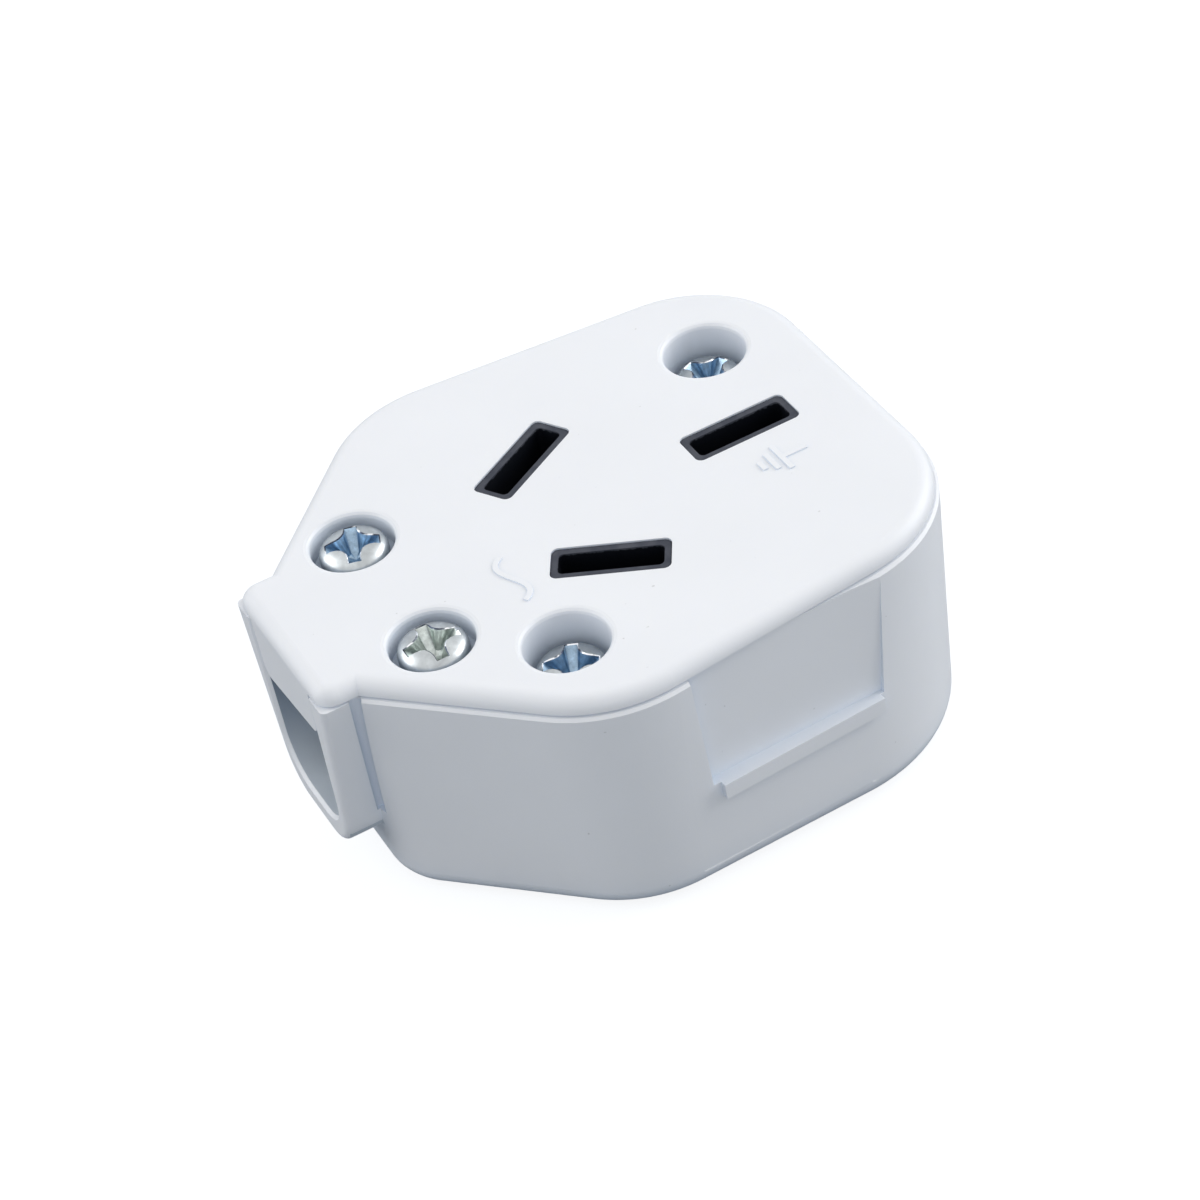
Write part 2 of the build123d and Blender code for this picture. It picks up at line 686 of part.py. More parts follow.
with BuildPart() as clamp_screw_left:
    add(machine_screw(clamp_screw_x, clamp_screw_y, clamp_seat_z, clamp_screw_length, clamp_turn_left))
clamp_screw_left.part.label = "clamp_screw_left"
export_step(clamp_screw_left.part, "parts/clamp_screw_left.step")

with BuildPart() as clamp_screw_right:
    add(machine_screw(clamp_screw_x, -clamp_screw_y, clamp_seat_z, clamp_screw_length, clamp_turn_right))
clamp_screw_right.part.label = "clamp_screw_right"
export_step(clamp_screw_right.part, "parts/clamp_screw_right.step")

with BuildPart() as case_screw_a:
    add(machine_screw(case_screw_near[0], case_screw_near[1], case_seat_z, case_screw_length, case_turn_near))
case_screw_a.part.label = "case_screw_near"
export_step(case_screw_a.part, "parts/case_screw_near.step")

with BuildPart() as case_screw_b:
    add(machine_screw(case_screw_far[0], case_screw_far[1], case_seat_z, case_screw_length, case_turn_far))
case_screw_b.part.label = "case_screw_far"
export_step(case_screw_b.part, "parts/case_screw_far.step")


# Hexagon nut pressed into its pocket in the back of the base.
def hex_nut(x, y):
    with BuildPart() as nut:
        with BuildSketch(Plane.XY.offset(nut_pocket_depth - nut_height)):
            with Locations((x, y)):
                RegularPolygon(nut_across_flats / 2, 6, major_radius=False)
                Circle(nut_bore_radius, mode=Mode.SUBTRACT)
        extrude(amount=nut_height)
        rim = nut.edges().filter_by(GeomType.CIRCLE).group_by(Axis.Z)[0]
        chamfer(rim, 0.25)
    return nut.part


with BuildPart() as clamp_nut_left:
    add(hex_nut(clamp_screw_x, clamp_screw_y))
clamp_nut_left.part.label = "clamp_nut_left"
export_step(clamp_nut_left.part, "parts/clamp_nut_left.step")

with BuildPart() as clamp_nut_right:
    add(hex_nut(clamp_screw_x, -clamp_screw_y))
clamp_nut_right.part.label = "clamp_nut_right"
export_step(clamp_nut_right.part, "parts/clamp_nut_right.step")

with BuildPart() as case_nut_a:
    add(hex_nut(case_screw_near[0], case_screw_near[1]))
case_nut_a.part.label = "case_nut_near"
export_step(case_nut_a.part, "parts/case_nut_near.step")

with BuildPart() as case_nut_b:
    add(hex_nut(case_screw_far[0], case_screw_far[1]))
case_nut_b.part.label = "case_nut_far"
export_step(case_nut_b.part, "parts/case_nut_far.step")
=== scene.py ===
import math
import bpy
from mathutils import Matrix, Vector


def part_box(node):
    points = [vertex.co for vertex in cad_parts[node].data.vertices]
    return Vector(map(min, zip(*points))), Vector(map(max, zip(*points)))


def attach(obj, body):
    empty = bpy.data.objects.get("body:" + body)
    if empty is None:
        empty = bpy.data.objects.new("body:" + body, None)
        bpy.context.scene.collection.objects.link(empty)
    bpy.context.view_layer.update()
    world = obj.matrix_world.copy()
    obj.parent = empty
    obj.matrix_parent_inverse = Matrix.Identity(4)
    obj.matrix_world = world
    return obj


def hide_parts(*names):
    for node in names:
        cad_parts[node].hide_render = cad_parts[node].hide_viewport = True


bl_info = {
    "name": "In-line socket",
    "version": (1, 0, 0),
    "blender": (4, 5, 0),
    "location": "View3D > Sidebar > Socket",
    "description": "Dresses a rewirable in-line socket: moulded case, contact block, brass and plated screws",
    "category": "Object",
}

import bmesh
import bpy
from bpy.props import FloatProperty, FloatVectorProperty, PointerProperty
from mathutils import Matrix, Vector

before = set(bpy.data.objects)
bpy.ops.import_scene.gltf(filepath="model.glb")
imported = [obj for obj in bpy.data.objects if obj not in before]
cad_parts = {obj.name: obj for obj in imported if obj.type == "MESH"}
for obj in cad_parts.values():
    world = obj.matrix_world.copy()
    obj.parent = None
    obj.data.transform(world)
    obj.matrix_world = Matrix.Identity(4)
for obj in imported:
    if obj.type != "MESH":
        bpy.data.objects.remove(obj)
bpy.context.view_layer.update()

# Sizes shared with the CAD source, in metres.
MM = 0.001
# Screws: place of the axis, then the turn of the cross recess in degrees.
SCREWS = {
    "clamp_screw_left": (-0.0179, 0.0065, -20.0),
    "clamp_screw_right": (-0.0179, -0.0065, -2.0),
    "case_screw_near": (-0.01045, -0.01242, -28.0),
    "case_screw_far": (0.01281, 0.00966, 24.0),
}
# Nuts and the screws they hold.
NUTS = {
    "clamp_nut_left": "clamp_screw_left",
    "clamp_nut_right": "clamp_screw_right",
    "case_nut_near": "case_screw_near",
    "case_nut_far": "case_screw_far",
}
HEAD_HEIGHT = 2.0 * MM
SHANK_RADIUS = 1.45 * MM
TIP_RADIUS = 1.1 * MM
# Corners round a turned head or a nut, and round a shank.
HEAD_STEPS = 72
SHANK_STEPS = 24
# Dome of a screw head: distance in from the rim and height above the seat.
HEAD_DOME = [
    (0.0, 1.05 * MM),
    (0.06 * MM, 1.28 * MM),
    (0.2 * MM, 1.48 * MM),
    (0.5 * MM, 1.69 * MM),
    (0.95 * MM, 1.86 * MM),
    (1.55 * MM, 1.96 * MM),
]
# Places of the finishes in a screw's list.
RECESS = 1
BURR_GLINT_AND_SHADE = 2
# Cross recess at its mouth, under the lip and at the floor: reach of an arm, half its width, waist.
RECESS_MOUTH = (2.02 * MM, 0.50 * MM, 0.84 * MM)
RECESS_NECK = (1.93 * MM, 0.44 * MM, 0.74 * MM)
RECESS_FLOOR = (0.66 * MM, 0.28 * MM, 0.36 * MM)
RECESS_DEPTH = 1.55 * MM
RECESS_TIP_DEPTH = 1.75 * MM
# Hexagon nuts: width across flats, radius of the bore, countersink, thread and angle of the chamfer.
NUT_ACROSS = 5.5 * MM
NUT_BORE = 1.5 * MM
NUT_COUNTERSINK = 0.22 * MM
NUT_THREAD = 0.12 * MM
NUT_CHAMFER = math.radians(28.0)
# Part of a nut's half width that stays flat inside the chamfer.
NUT_FACE = 0.93
# Inside of the cable mouth, where shade is painted: axis, comparison and limit in metres.
MOUTH_LIMITS = (
    ("X", "GREATER_THAN", -0.02672),
    ("X", "LESS_THAN", -0.0165),
    ("Y", "LESS_THAN", 0.00512),
    ("Y", "GREATER_THAN", -0.00512),
    ("Z", "GREATER_THAN", 0.0052),
)
# Heights between which its painted shade runs, and the colours from low to high.
MOUTH_LOW = 0.006
MOUTH_HIGH = 0.016
MOUTH_SHADES = [(0.0, (0.57, 0.63, 0.69)), (0.45, (0.33, 0.39, 0.47)), (1.0, (0.115, 0.16, 0.23))]
# Reach and tone of the shade in gaps of the case and of the metal.
CASE_REACH = 4.0 * MM
CASE_SHADE = (0.79, 0.86, 0.94)
METAL_REACH = 0.6 * MM
METAL_SHADE = (0.30, 0.33, 0.38)
# Camera of the photograph, found from the slot layout: place in metres and turn in degrees.
CAMERA_PLACE = (-0.072303, -0.185803, 0.180372)
CAMERA_TURN = (48.9576, 8.8473, -28.1327)


# Property groups: what a user would change.
class CaseSettings(bpy.types.PropertyGroup):
    plastic: FloatVectorProperty(
        name="Plastic",
        description="Colour of the moulded case",
        subtype="COLOR",
        size=3,
        default=(0.83, 0.845, 0.875),
    )
    roughness: FloatProperty(
        name="Roughness", description="Gloss of the case", default=0.43, min=0.0, max=1.0
    )
    grain: FloatProperty(
        name="Grain", description="Height of the moulded grain", default=0.000012, unit="LENGTH", min=0.0
    )


class MetalSettings(bpy.types.PropertyGroup):
    plating: FloatVectorProperty(
        name="Plating",
        description="Colour of the zinc plating",
        subtype="COLOR",
        size=3,
        default=(0.54, 0.57, 0.585),
    )
    recess: FloatVectorProperty(
        name="Recess",
        description="Blue tint in the cross recess",
        subtype="COLOR",
        size=3,
        default=(0.40, 0.545, 0.69),
    )
    worn_recess: FloatVectorProperty(
        name="Worn recess",
        description="Grey green tint of one recess",
        subtype="COLOR",
        size=3,
        default=(0.64, 0.69, 0.66),
    )
    brass: FloatVectorProperty(
        name="Brass",
        description="Colour of contacts and terminals",
        subtype="COLOR",
        size=3,
        default=(0.80, 0.60, 0.28),
    )
    thread_pitch: FloatProperty(
        name="Thread pitch", description="Pitch of the screws", default=0.0005, unit="LENGTH"
    )
    thread_depth: FloatProperty(
        name="Thread depth", description="Depth of the thread", default=0.00028, unit="LENGTH"
    )


class StageSettings(bpy.types.PropertyGroup):
    ambient: FloatProperty(name="Ambient", description="Light of the white room", default=0.62, min=0.0)
    mouth_light: FloatProperty(
        name="Mouth light", description="Softbox behind the cable mouth", default=3.3, min=0.0, unit="POWER"
    )
    end_light: FloatProperty(
        name="End light", description="Softbox at the earth end", default=4.0, min=0.0, unit="POWER"
    )
    front_light: FloatProperty(
        name="Front light", description="Softbox by the near long side", default=1.05, min=0.0, unit="POWER"
    )
    lens: FloatProperty(name="Lens", description="Focal length of the camera", default=108.0, min=1.0)


# Small helpers for node trees and meshes.
def material(name):
    mat = bpy.data.materials.new(name)
    mat.use_nodes = True
    tree = mat.node_tree
    return mat, tree, tree.nodes["Principled BSDF"]


def noise(tree, coords, scale, detail=3.0, roughness=0.5):
    node = tree.nodes.new("ShaderNodeTexNoise")
    node.inputs["Scale"].default_value = scale
    node.inputs["Detail"].default_value = detail
    node.inputs["Roughness"].default_value = roughness
    tree.links.new(coords, node.inputs["Vector"])
    return node.outputs["Fac"]


def ramp(tree, factor, stops):
    node = tree.nodes.new("ShaderNodeValToRGB")
    node.color_ramp.elements[0].position = stops[0][0]
    node.color_ramp.elements[0].color = (*stops[0][1], 1.0)
    node.color_ramp.elements[1].position = stops[-1][0]
    node.color_ramp.elements[1].color = (*stops[-1][1], 1.0)
    for position, color in stops[1:-1]:
        element = node.color_ramp.elements.new(position)
        element.color = (*color, 1.0)
    tree.links.new(factor, node.inputs["Fac"])
    return node.outputs["Color"]


def level(tree, factor, low, high):
    node = tree.nodes.new("ShaderNodeMapRange")
    node.inputs["To Min"].default_value = low
    node.inputs["To Max"].default_value = high
    tree.links.new(factor, node.inputs["Value"])
    return node.outputs["Result"]


def bump(tree, height, distance, shader, strength=1.0):
    node = tree.nodes.new("ShaderNodeBump")
    node.inputs["Strength"].default_value = strength
    node.inputs["Distance"].default_value = distance
    tree.links.new(height, node.inputs["Height"])
    tree.links.new(node.outputs["Normal"], shader.inputs["Normal"])


# Darkens a colour with painted shade in gaps and corners; where the open mask is set, the colour stays as
# light as it is.
def painted_crevice_shade(tree, color, reach, shade, open_mask=None):
    hollow = tree.nodes.new("ShaderNodeAmbientOcclusion")
    hollow.samples = 6
    hollow.inputs["Distance"].default_value = reach
    value = hollow.outputs["AO"]
    if open_mask is not None:
        larger = tree.nodes.new("ShaderNodeMath")
        larger.operation = "MAXIMUM"
        tree.links.new(value, larger.inputs[0])
        tree.links.new(open_mask, larger.inputs[1])
        value = larger.outputs["Value"]
    mix = tree.nodes.new("ShaderNodeMix")
    mix.data_type = "RGBA"
    mix.blend_type = "MULTIPLY"
    mix.inputs["Factor"].default_value = 1.0
    tree.links.new(color, mix.inputs[6])
    tree.links.new(ramp(tree, value, [(0.2, shade), (0.92, (1.0, 1.0, 1.0))]), mix.inputs[7])
    return mix.outputs[2]


def tinted(color, gain):
    return tuple(min(1.0, channel * gain) for channel in color)


def dress(node_name, mat):
    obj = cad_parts[node_name]
    obj.data.materials.clear()
    obj.data.materials.append(mat)
    return obj


def new_piece(name, mesh_builder, materials):
    bm = bmesh.new()
    mesh_builder(bm)
    bmesh.ops.recalc_face_normals(bm, faces=bm.faces)
    mesh = bpy.data.meshes.new(name)
    bm.to_mesh(mesh)
    bm.free()
    for mat in materials:
        mesh.materials.append(mat)
    obj = bpy.data.objects.new(name, mesh)
    bpy.context.scene.collection.objects.link(obj)
    return obj


# Paints shade into the colour inside the cable mouth, where little light gets in.
def painted_mouth_shade(tree, color, split):
    inside = None
    for axis, operation, value in MOUTH_LIMITS:
        test = tree.nodes.new("ShaderNodeMath")
        test.operation = operation
        tree.links.new(split.outputs[axis], test.inputs[0])
        test.inputs[1].default_value = value
        if inside is None:
            inside = test.outputs["Value"]
        else:
            both = tree.nodes.new("ShaderNodeMath")
            both.operation = "MULTIPLY"
            tree.links.new(inside, both.inputs[0])
            tree.links.new(test.outputs["Value"], both.inputs[1])
            inside = both.outputs["Value"]
    mix = tree.nodes.new("ShaderNodeMix")
    mix.data_type = "RGBA"
    tree.links.new(inside, mix.inputs["Factor"])
    tree.links.new(color, mix.inputs[6])
    height = tree.nodes.new("ShaderNodeMapRange")
    height.inputs["From Min"].default_value = MOUTH_LOW
    height.inputs["From Max"].default_value = MOUTH_HIGH
    tree.links.new(split.outputs["Z"], height.inputs["Value"])
    tree.links.new(ramp(tree, height.outputs["Result"], MOUTH_SHADES), mix.inputs[7])
    return mix.outputs[2]


# Finishes, with painted shade in their gaps and corners.
def moulded_plastic(name, color, roughness, grain, seam_z=None):
    mat, tree, shader = material(name)
    coords = tree.nodes.new("ShaderNodeTexCoord").outputs["Object"]
    cloud = noise(tree, coords, 90.0, 4.0)
    tint = ramp(tree, cloud, [(0.3, tinted(color, 0.985)), (0.7, tinted(color, 1.01))])
    specks = noise(tree, coords, 2600.0, 1.0, 0.3)
    mask = ramp(tree, specks, [(0.825, (1.0, 1.0, 1.0)), (0.86, (0.78, 0.78, 0.77))])
    mix = tree.nodes.new("ShaderNodeMix")
    mix.data_type = "RGBA"
    mix.blend_type = "MULTIPLY"
    mix.inputs["Factor"].default_value = 1.0
    tree.links.new(tint, mix.inputs[6])
    tree.links.new(mask, mix.inputs[7])
    seam = None
    if seam_z is not None:
        split = tree.nodes.new("ShaderNodeSeparateXYZ")
        tree.links.new(coords, split.inputs["Vector"])
        band = tree.nodes.new("ShaderNodeMapRange")
        band.inputs["From Min"].default_value = seam_z - 0.26 * MM
        band.inputs["From Max"].default_value = seam_z - 0.20 * MM
        tree.links.new(split.outputs["Z"], band.inputs["Value"])
        seam = band.outputs["Result"]
    # Painted shade in the case's gaps and corners; the band along the top edge of the base is kept out of it.
    shaded = painted_crevice_shade(tree, mix.outputs[2], CASE_REACH, CASE_SHADE, seam)
    if seam_z is not None:
        shaded = painted_mouth_shade(tree, shaded, split)
    tree.links.new(shaded, shader.inputs["Base Color"])
    sheen = noise(tree, coords, 420.0, 3.0)
    tree.links.new(level(tree, sheen, roughness - 0.06, roughness + 0.08), shader.inputs["Roughness"])
    fine = noise(tree, coords, 5200.0, 2.0, 0.6)
    bump(tree, fine, grain, shader, 0.35)
    shader.inputs["IOR"].default_value = 1.5
    shader.inputs["Subsurface Weight"].default_value = 0.12
    shader.inputs["Subsurface Radius"].default_value = (0.8, 0.85, 1.0)
    shader.inputs["Subsurface Scale"].default_value = 0.0008
    return mat


def plated_metal(name, color, roughness, scale=700.0, contrast=0.1):
    mat, tree, shader = material(name)
    coords = tree.nodes.new("ShaderNodeTexCoord").outputs["Object"]
    bloom = noise(tree, coords, scale, 4.0, 0.6)
    dull = tinted(color, 1 - contrast)
    bright = tinted(color, 1 + contrast)
    tint = ramp(tree, bloom, [(0.32, dull), (0.55, color), (0.72, bright)])
    # Painted shade darkens the plating in the cross recess and other tight corners.
    tree.links.new(painted_crevice_shade(tree, tint, METAL_REACH, METAL_SHADE), shader.inputs["Base Color"])
    shader.inputs["Metallic"].default_value = 1.0
    wear = noise(tree, coords, 1100.0, 3.0, 0.55)
    tree.links.new(level(tree, wear, roughness - 0.06, roughness + 0.1), shader.inputs["Roughness"])
    bump(tree, wear, 0.000012, shader, 0.35)
    return mat


# Rolled edge of a stamped recess, painted with light and shade: bright nibs painted as glints between dark
# stretches of painted shade.
def paint_burr_glint_and_shade(name):
    mat, tree, shader = material(name)
    coords = tree.nodes.new("ShaderNodeTexCoord").outputs["Object"]
    glint_and_shade_noise = noise(tree, coords, 1100.0, 2.0, 0.6)
    stops = [(0.44, (0.05, 0.06, 0.09)), (0.52, (0.30, 0.33, 0.36)), (0.57, (0.97, 0.98, 1.0))]
    tint = ramp(tree, glint_and_shade_noise, stops)
    tree.links.new(tint, shader.inputs["Base Color"])
    shader.inputs["Metallic"].default_value = 1.0
    tree.links.new(level(tree, glint_and_shade_noise, 0.34, 0.22), shader.inputs["Roughness"])
    return mat


# Stage: floor, room light, lamps and camera.
def floor_plane(bm):
    bmesh.ops.create_grid(bm, x_segments=1, y_segments=1, size=3.0)


class SOCKET_OT_stage(bpy.types.Operator):
    """Floor, white room, softboxes and the camera"""

    bl_idname = "socket.stage"
    bl_label = "Stage"

    def execute(self, context):
        scene = context.scene
        stage = scene.socket_stage
        scene.view_settings.view_transform = "Standard"
        mat, tree, shader = material("stage_floor")
        shader.inputs["Base Color"].default_value = (0.20, 0.225, 0.25, 1.0)
        shader.inputs["Roughness"].default_value = 0.9
        light_path = tree.nodes.new("ShaderNodeLightPath")
        tree.links.new(light_path.outputs["Is Camera Ray"], shader.inputs["Emission Strength"])
        shader.inputs["Emission Color"].default_value = (0.85, 0.85, 0.85, 1.0)
        floor = new_piece("stage_floor", floor_plane, [mat])
        world = bpy.data.worlds.new("white_room")
        scene.world = world
        world.use_nodes = True
        nodes = world.node_tree.nodes
        links = world.node_tree.links
        background = nodes["Background"]
        direction = nodes.new("ShaderNodeTexCoord").outputs["Generated"]
        split = nodes.new("ShaderNodeSeparateXYZ")
        links.new(direction, split.inputs["Vector"])
        sky = nodes.new("ShaderNodeValToRGB")
        sky.color_ramp.elements[0].position = 0.0
        sky.color_ramp.elements[0].color = (0.58, 0.65, 0.74, 1.0)
        sky.color_ramp.elements[1].position = 0.7
        sky.color_ramp.elements[1].color = (1.0, 1.0, 1.0, 1.0)
        links.new(split.outputs["Z"], sky.inputs["Fac"])
        path = nodes.new("ShaderNodeLightPath")
        camera_mix = nodes.new("ShaderNodeMix")
        camera_mix.data_type = "RGBA"
        links.new(path.outputs["Is Camera Ray"], camera_mix.inputs["Factor"])
        links.new(sky.outputs["Color"], camera_mix.inputs[6])
        camera_mix.inputs[7].default_value = (1.0, 1.0, 1.0, 1.0)
        links.new(camera_mix.outputs[2], background.inputs["Color"])
        seen = nodes.new("ShaderNodeMath")
        seen.operation = "MAXIMUM"
        links.new(path.outputs["Is Camera Ray"], seen.inputs[0])
        links.new(path.outputs["Is Glossy Ray"], seen.inputs[1])
        strength = nodes.new("ShaderNodeMapRange")
        links.new(seen.outputs["Value"], strength.inputs["Value"])
        strength.inputs["To Min"].default_value = stage.ambient
        strength.inputs["To Max"].default_value = 1.0
        links.new(strength.outputs["Result"], background.inputs["Strength"])
        lamps = (
            ("mouth_softbox", (-0.6, 0.45, 0.45), 0.85, stage.mouth_light),
            ("end_softbox", (0.7, -0.05, 0.35), 0.65, stage.end_light),
            ("front_softbox", (-0.25, -0.8, 0.22), 0.5, stage.front_light),
        )
        for name, place, size, power in lamps:
            data = bpy.data.lights.new(name, "AREA")
            data.shape = "DISK"
            data.size = size
            data.energy = power
            lamp = bpy.data.objects.new(name, data)
            lamp.location = place
            aim = Vector((0.0, 0.0, 0.01)) - Vector(place)
            lamp.rotation_euler = aim.to_track_quat("-Z", "Y").to_euler()
            scene.collection.objects.link(lamp)
        camera_data = bpy.data.cameras.new("camera")
        camera_data.lens = stage.lens
        camera_data.sensor_width = 36.0
        camera_data.clip_start = 0.01
        camera = bpy.data.objects.new("camera", camera_data)
        camera.location = CAMERA_PLACE
        camera.rotation_euler = tuple(math.radians(angle) for angle in CAMERA_TURN)
        scene.collection.objects.link(camera)
        scene.camera = camera
        return {"FINISHED"}


class SOCKET_OT_case(bpy.types.Operator):
    """White moulded finish of base, cover and cord clamp bar, with painted shade in corners and inside the
    base's cable mouth
    """

    bl_idname = "socket.case"
    bl_label = "Case"

    def execute(self, context):
        case = context.scene.socket_case
        seam_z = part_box("base")[1][2]
        white = moulded_plastic("white_case", tuple(case.plastic), case.roughness, case.grain)
        # The base's copy of the white also carries painted shade inside the cable mouth.
        mouth_shaded_white = moulded_plastic("white_case_ledge", tuple(case.plastic), case.roughness, case.grain, seam_z)
        dress("cover", white)
        dress("cord_clamp_bar", white)
        dress("base", mouth_shaded_white)
        return {"FINISHED"}


class SOCKET_OT_block(bpy.types.Operator):
    """Black contact block behind the slots"""

    bl_idname = "socket.block"
    bl_label = "Contact block"

    def execute(self, context):
        black, tree, shader = material("black_block")
        coords = tree.nodes.new("ShaderNodeTexCoord").outputs["Object"]
        split = tree.nodes.new("ShaderNodeSeparateXYZ")
        tree.links.new(coords, split.inputs["Vector"])
        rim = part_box("contact_carrier")[1][2]
        # Painted shade: below a ragged line just under the collar faces, the slot walls are painted near
        # black.
        shade_line = tree.nodes.new("ShaderNodeMath")
        shade_line.operation = "MULTIPLY_ADD"
        tree.links.new(noise(tree, coords, 2600.0, 3.0, 0.7), shade_line.inputs[0])
        shade_line.inputs[1].default_value = 0.5 * MM
        tree.links.new(split.outputs["Z"], shade_line.inputs[2])
        face = tree.nodes.new("ShaderNodeMapRange")
        face.inputs["From Min"].default_value = rim + 0.1 * MM
        face.inputs["From Max"].default_value = rim + 0.15 * MM
        tree.links.new(shade_line.outputs["Value"], face.inputs["Value"])
        tones = [(0.35, (0.048, 0.053, 0.070)), (0.65, (0.074, 0.079, 0.096))]
        cloud = ramp(tree, noise(tree, coords, 900.0, 3.0), tones)
        mix = tree.nodes.new("ShaderNodeMix")
        mix.data_type = "RGBA"
        tree.links.new(face.outputs["Result"], mix.inputs["Factor"])
        mix.inputs[6].default_value = (0.002, 0.003, 0.006, 1.0)
        # Painted purple-blue shade in the corners round the collars.
        tree.links.new(painted_crevice_shade(tree, cloud, 0.00016, (0.18, 0.16, 0.42)), mix.inputs[7])
        tree.links.new(mix.outputs[2], shader.inputs["Base Color"])
        tree.links.new(level(tree, noise(tree, coords, 3000.0), 0.48, 0.66), shader.inputs["Roughness"])
        shader.inputs["Specular IOR Level"].default_value = 0.18
        bump(tree, noise(tree, coords, 5200.0, 3.0, 0.7), 0.00002, shader, 0.5)
        dress("contact_carrier", black)
        return {"FINISHED"}


class SOCKET_OT_contacts(bpy.types.Operator):
    """Brass fork contacts, terminal blocks and their screws"""

    bl_idname = "socket.contacts"
    bl_label = "Contacts"

    def execute(self, context):
        metal = context.scene.socket_metal
        brass = plated_metal("contact_brass", tuple(metal.brass), 0.28)
        zinc = plated_metal("terminal_plating", tuple(metal.plating), 0.26)
        for pole in ("live", "neutral", "earth"):
            dress(pole + "_contact", brass)
            dress(pole + "_terminal", brass)
            dress(pole + "_terminal_screw", zinc)
        return {"FINISHED"}


# Outline of the cross recess at one level: four arms with hollow flanks between them.
def recess_outline(reach, half_width, waist, steps=7):
    points = []
    for quarter in range(4):
        turn = Matrix.Rotation(quarter * math.pi / 2, 2)
        start = Vector((reach, half_width))
        end = Vector((half_width, reach))
        middle = Vector((waist, waist)) * 2 - (start + end) / 2
        for step in range(steps + 1):
            t = step / steps
            point = start * (1 - t) ** 2 + middle * 2 * t * (1 - t) + end * t**2
            points.append(turn @ point)
    return points


# Height of the domed head at a distance from its axis.
def dome_height(distance, radius):
    profile = [(0.0, HEAD_HEIGHT)] + [(radius - inset, z) for inset, z in reversed(HEAD_DOME)]
    for (near, high), (far, low) in zip(profile[:-1], profile[1:]):
        if distance <= far:
            return high + (low - high) * (distance - near) / (far - near)
    return profile[-1][1]


# Stamped cross recess with a rolled lip that follows the dome.
def recess_cutter(bm, radius):
    mouth = recess_outline(*RECESS_MOUTH)
    neck = recess_outline(*RECESS_NECK)
    floor = recess_outline(*RECESS_FLOOR)
    rings = [
        [bm.verts.new((p.x, p.y, HEAD_HEIGHT + 0.4 * MM)) for p in mouth],
        [bm.verts.new((p.x, p.y, dome_height(p.length, radius) + 0.02 * MM)) for p in mouth],
        [bm.verts.new((p.x, p.y, dome_height(p.length, radius) - 0.07 * MM)) for p in neck],
        [bm.verts.new((p.x, p.y, HEAD_HEIGHT - RECESS_DEPTH)) for p in floor],
    ]
    for upper, lower, index in zip(rings[:-1], rings[1:], (BURR_GLINT_AND_SHADE, BURR_GLINT_AND_SHADE, RECESS)):
        for i in range(len(lower)):
            j = (i + 1) % len(lower)
            bm.faces.new((lower[i], lower[j], upper[j], upper[i])).material_index = index
    bm.faces.new(rings[0])
    tip = bm.verts.new((0.0, 0.0, HEAD_HEIGHT - RECESS_TIP_DEPTH))
    last = rings[-1]
    for i in range(len(last)):
        bm.faces.new((last[i], last[(i + 1) % len(last)], tip)).material_index = RECESS


# Ring of vertices about the Z axis; shape gives radius and height for an angle.
def ring_of(bm, count, shape):
    ring = []
    for i in range(count):
        angle = 2 * math.pi * i / count
        r, z = shape(angle)
        ring.append(bm.verts.new((r * math.cos(angle), r * math.sin(angle), z)))
    return ring


def round_ring(bm, count, r, z):
    return ring_of(bm, count, lambda angle: (r, z))


# Part of a turn through the thread at a height, from 0 to 1.
def thread_phase(z, pitch, angle):
    return (z / pitch + angle / (2 * math.pi)) % 1.0


# Turned head and threaded shank of one pan-head screw, about the Z axis.
def screw_body(bm, radius, length, pitch, depth):
    head = [(SHANK_RADIUS, 0.0), (radius - 0.12 * MM, 0.0), (radius, 0.12 * MM)]
    head += [(radius - inset, z) for inset, z in HEAD_DOME]
    rings = [round_ring(bm, HEAD_STEPS, r, z) for r, z in head]
    crown = bm.verts.new((0.0, 0.0, HEAD_HEIGHT))
    for lower, upper in zip(rings[:-1], rings[1:]):
        for i in range(HEAD_STEPS):
            j = (i + 1) % HEAD_STEPS
            bm.faces.new((lower[i], lower[j], upper[j], upper[i]))
    for i in range(HEAD_STEPS):
        bm.faces.new((rings[-1][i], rings[-1][(i + 1) % HEAD_STEPS], crown))
    plain = 0.3 * MM
    run_out = 0.8 * MM
    levels = [-plain]
    step = pitch / 6
    while levels[-1] - step > -length + 0.35 * MM:
        levels.append(levels[-1] - step)
    levels.append(-length + plain)

    def threaded(z):
        fade = min(1.0, (-z - plain) / run_out)

        def shape(angle):
            cut = depth * (1 - abs(2 * thread_phase(z, pitch, angle) - 1))
            return SHANK_RADIUS - cut * fade, z

        return shape

    shank = [ring_of(bm, SHANK_STEPS, threaded(z)) for z in levels]
    tip = round_ring(bm, SHANK_STEPS, TIP_RADIUS, -length)
    shank.append(tip)
    first = shank[0]
    for i in range(SHANK_STEPS):
        j = (i + 1) % SHANK_STEPS
        outer = [rings[0][(3 * i + k) % HEAD_STEPS] for k in range(4)]
        bm.faces.new((outer[0], first[i], outer[1]))
        bm.faces.new((outer[1], first[i], outer[2]))
        bm.faces.new((outer[2], first[i], first[j]))
        bm.faces.new((outer[2], first[j], outer[3]))
    for lower, upper in zip(shank[:-1], shank[1:]):
        for i in range(SHANK_STEPS):
            j = (i + 1) % SHANK_STEPS
            bm.faces.new((lower[i], upper[i], upper[j], lower[j]))
    bm.faces.new(tip)


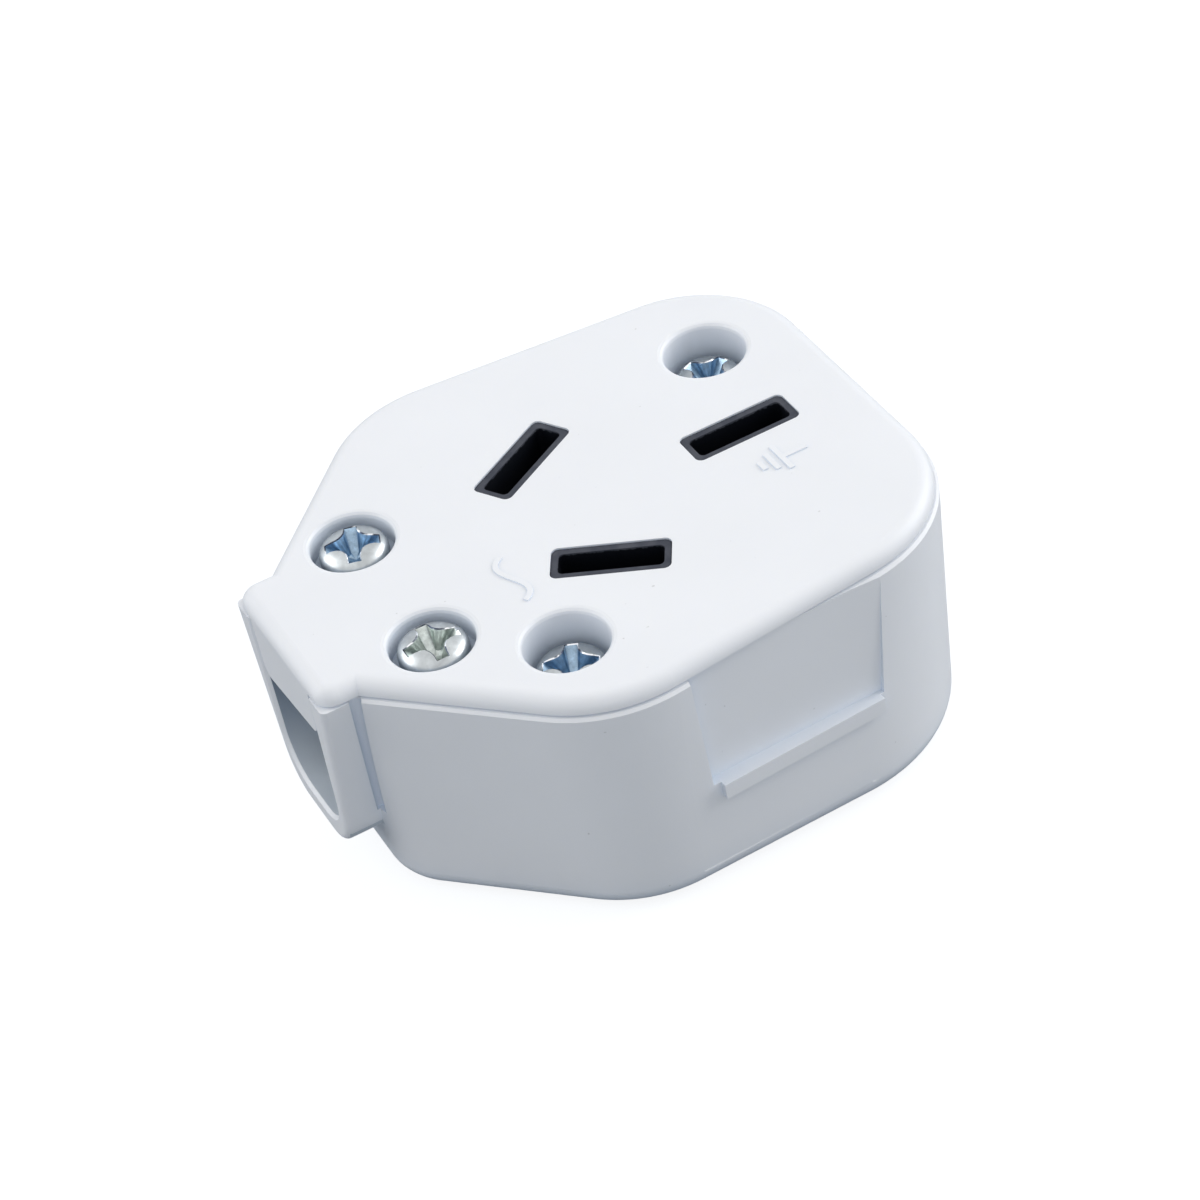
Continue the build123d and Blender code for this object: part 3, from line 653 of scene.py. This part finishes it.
class SOCKET_OT_screws(bpy.types.Operator):
    """Two cord clamp screws and two case screws with cross recesses"""

    bl_idname = "socket.screws"
    bl_label = "Screws"

    def execute(self, context):
        metal = context.scene.socket_metal
        plating = plated_metal("screw_plating", tuple(metal.plating), 0.33, 1200.0, 0.16)
        blue = plated_metal("recess_plating", tuple(metal.recess), 0.3, 2000.0, 0.3)
        grey = plated_metal("recess_plating_worn", tuple(metal.worn_recess), 0.3, 1500.0, 0.35)
        burr_glint_and_shade = paint_burr_glint_and_shade("recess_burr")
        for name, (x, y, turn) in SCREWS.items():
            low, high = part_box(name)
            length = high[2] - low[2] - HEAD_HEIGHT
            radius = (high[0] - low[0]) / 2
            seat = high[2] - HEAD_HEIGHT
            recess = grey if name == "clamp_screw_right" else blue
            finishes = [plating, recess, burr_glint_and_shade]
            screw = new_piece(
                name + "_turned",
                lambda bm: screw_body(bm, radius, length, metal.thread_pitch, metal.thread_depth),
                finishes,
            )
            cutter = new_piece(name + "_cutter", lambda bm: recess_cutter(bm, radius), finishes)
            cut = screw.modifiers.new("recess", "BOOLEAN")
            cut.operation = "DIFFERENCE"
            cut.solver = "EXACT"
            cut.object = cutter
            place = Matrix.Translation((x, y, seat)) @ Matrix.Rotation(math.radians(turn), 4, "Z")
            context.view_layer.update()
            shaped = bpy.data.meshes.new_from_object(screw.evaluated_get(context.evaluated_depsgraph_get()))
            screw.modifiers.clear()
            screw.data = shaped
            shaped.transform(place)
            for polygon in shaped.polygons:
                polygon.use_smooth = True
            shaped.set_sharp_from_angle(angle=math.radians(32.0))
            bpy.data.objects.remove(cutter)
            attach(screw, "root")
            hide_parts(name)
        return {"FINISHED"}


# Hexagon nut with chamfered corners, countersunk and threaded bore, about the Z axis.
def nut_body(bm, height, pitch):
    apothem = NUT_ACROSS / 2
    face = apothem * NUT_FACE
    mouth = NUT_BORE + NUT_COUNTERSINK

    def flank(angle, above):
        folded = (angle + math.pi / 6) % (math.pi / 3) - math.pi / 6
        r = apothem / math.cos(folded)
        drop = max(0.02 * MM, (r - face) * math.tan(NUT_CHAMFER))
        return r, height - drop if above else drop

    def thread(z):
        return lambda angle: (NUT_BORE + NUT_THREAD * abs(2 * thread_phase(z, pitch, angle) - 1), z)

    rings = [
        round_ring(bm, HEAD_STEPS, mouth, height),
        round_ring(bm, HEAD_STEPS, face, height),
        ring_of(bm, HEAD_STEPS, lambda angle: flank(angle, True)),
        ring_of(bm, HEAD_STEPS, lambda angle: flank(angle, False)),
        round_ring(bm, HEAD_STEPS, face, 0.0),
        round_ring(bm, HEAD_STEPS, mouth, 0.0),
    ]
    z = NUT_COUNTERSINK
    while z < height - 0.2 * MM:
        rings.append(ring_of(bm, HEAD_STEPS, thread(z)))
        z += pitch / 5
    for here, there in zip(rings, rings[1:] + rings[:1]):
        for i in range(HEAD_STEPS):
            j = (i + 1) % HEAD_STEPS
            bm.faces.new((here[i], here[j], there[j], there[i]))


class SOCKET_OT_nuts(bpy.types.Operator):
    """Hexagon nuts pressed into the back of the base"""

    bl_idname = "socket.nuts"
    bl_label = "Nuts"

    def execute(self, context):
        metal = context.scene.socket_metal
        plating = plated_metal("nut_plating", tinted(tuple(metal.plating), 0.96), 0.3)
        for name, screw in NUTS.items():
            low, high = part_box(name)
            x, y, _ = SCREWS[screw]
            nut = new_piece(
                name + "_formed",
                lambda bm: nut_body(bm, high[2] - low[2], metal.thread_pitch),
                [plating],
            )
            nut.data.transform(Matrix.Translation((x, y, low[2])))
            for polygon in nut.data.polygons:
                polygon.use_smooth = True
            nut.data.set_sharp_from_angle(angle=math.radians(30.0))
            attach(nut, "root")
            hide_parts(name)
        return {"FINISHED"}


class SOCKET_PT_panel(bpy.types.Panel):
    bl_idname = "SOCKET_PT_panel"
    bl_label = "In-line socket"
    bl_space_type = "VIEW_3D"
    bl_region_type = "UI"
    bl_category = "Socket"

    def draw(self, context):
        layout = self.layout
        scene = context.scene
        groups = {"Case": scene.socket_case, "Metal": scene.socket_metal, "Stage": scene.socket_stage}
        for label, group in groups.items():
            box = layout.box()
            box.label(text=label)
            for key in group.__annotations__:
                box.prop(group, key)
        for operator in OPERATORS:
            layout.operator(operator.bl_idname)


GROUPS = (CaseSettings, MetalSettings, StageSettings)
OPERATORS = (
    SOCKET_OT_stage,
    SOCKET_OT_case,
    SOCKET_OT_block,
    SOCKET_OT_contacts,
    SOCKET_OT_screws,
    SOCKET_OT_nuts,
)


def register():
    for cls in GROUPS + OPERATORS + (SOCKET_PT_panel,):
        bpy.utils.register_class(cls)
    bpy.types.Scene.socket_case = PointerProperty(type=CaseSettings)
    bpy.types.Scene.socket_metal = PointerProperty(type=MetalSettings)
    bpy.types.Scene.socket_stage = PointerProperty(type=StageSettings)


def unregister():
    del bpy.types.Scene.socket_case
    del bpy.types.Scene.socket_metal
    del bpy.types.Scene.socket_stage
    for cls in reversed(GROUPS + OPERATORS + (SOCKET_PT_panel,)):
        bpy.utils.unregister_class(cls)


def main():
    register()
    bpy.ops.socket.stage()
    bpy.ops.socket.case()
    bpy.ops.socket.block()
    bpy.ops.socket.contacts()
    bpy.ops.socket.screws()
    bpy.ops.socket.nuts()


if __name__ == "__main__":
    main()
